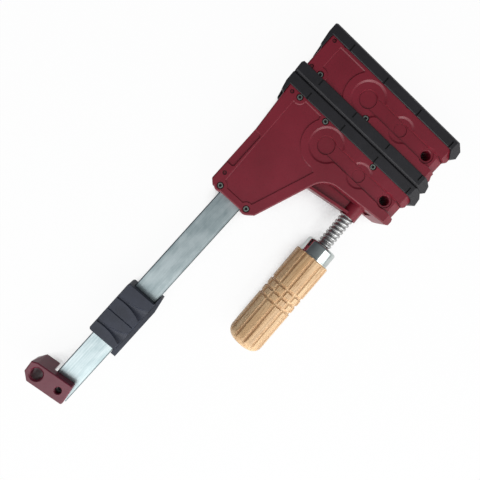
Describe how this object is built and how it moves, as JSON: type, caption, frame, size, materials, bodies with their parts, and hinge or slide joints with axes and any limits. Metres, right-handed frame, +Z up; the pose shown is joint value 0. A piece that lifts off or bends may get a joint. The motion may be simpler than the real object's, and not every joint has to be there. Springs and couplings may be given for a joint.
{
  "type": "screw clamp",
  "caption": "Parallel-jaw bar clamp: cast half-shell jaws with black pads on a flat steel bar, a fluted wooden handle on a screw that drives a sliding arm, a saddle and an end stop.",
  "frame": {"origin": "middle of the clamp's length and width, at the height of the surface it lies on", "axes": "+Y along the bar from the end stop to the jaws, +X from the bar towards the handle, +Z up from the surface through the jaws' thickness"},
  "size_m": [0.166, 0.4274, 0.0396],
  "materials": {
    "red_casting": "satin",
    "black_pad": "matte",
    "zinc_steel": "satin",
    "dark_steel": "satin",
    "pin_steel": "ground",
    "spindle_steel": "satin",
    "polished_steel": "polished",
    "beech": "satin varnish",
    "black_plastic": "matte"
  },
  "bodies": {
    "root": {"bar": "zinc_steel", "fixed_jaw_front": "red_casting", "fixed_jaw_rear": "red_casting", "fixed_jaw_screws": "dark_steel", "fixed_jaw_pins": "pin_steel", "outer_pad": "black_pad", "fixed_pad": "black_pad", "end_stop": "red_casting", "end_stop_pin": "dark_steel"},
    "moving_jaw": {"moving_jaw_front": "red_casting", "moving_jaw_rear": "red_casting", "moving_jaw_screws": "dark_steel", "moving_pad": "black_pad", "bearing_pins": "pin_steel", "thrust_disc": "pin_steel", "retaining_plate": "pin_steel"},
    "arm": {"arm": "red_casting", "brake_pins": "pin_steel"},
    "spindle": {"spindle": "spindle_steel", "ferrule": "polished_steel", "handle": "beech"},
    "saddle": {"saddle_upper": "black_plastic", "saddle_lower": "black_plastic"}
  },
  "joints": [
    {"name": "jaw_slide", "type": "slide", "parent": "root", "child": "moving_jaw", "axis": [0, -1, 0], "range_m": [0, 0.108]},
    {"name": "spindle_turn", "type": "hinge", "parent": "moving_jaw", "child": "spindle", "pos_m": [0.04455, 0.12549, 0.0198], "axis": [-0.0419, 0.9991, 0], "range_deg": [0, 2763]},
    {"name": "arm_feed", "type": "slide", "parent": "moving_jaw", "child": "arm", "axis": [0.0419, -0.9991, 0], "range_m": [0, 0.033]},
    {"name": "saddle_slide", "type": "slide", "parent": "root", "child": "saddle", "axis": [0, -1, 0], "range_m": [0, 0.043]}
  ],
  "couplings": [
    {"joint": "spindle_turn", "follows": "arm_feed", "rad_per_m": 1461.2}
  ]
}
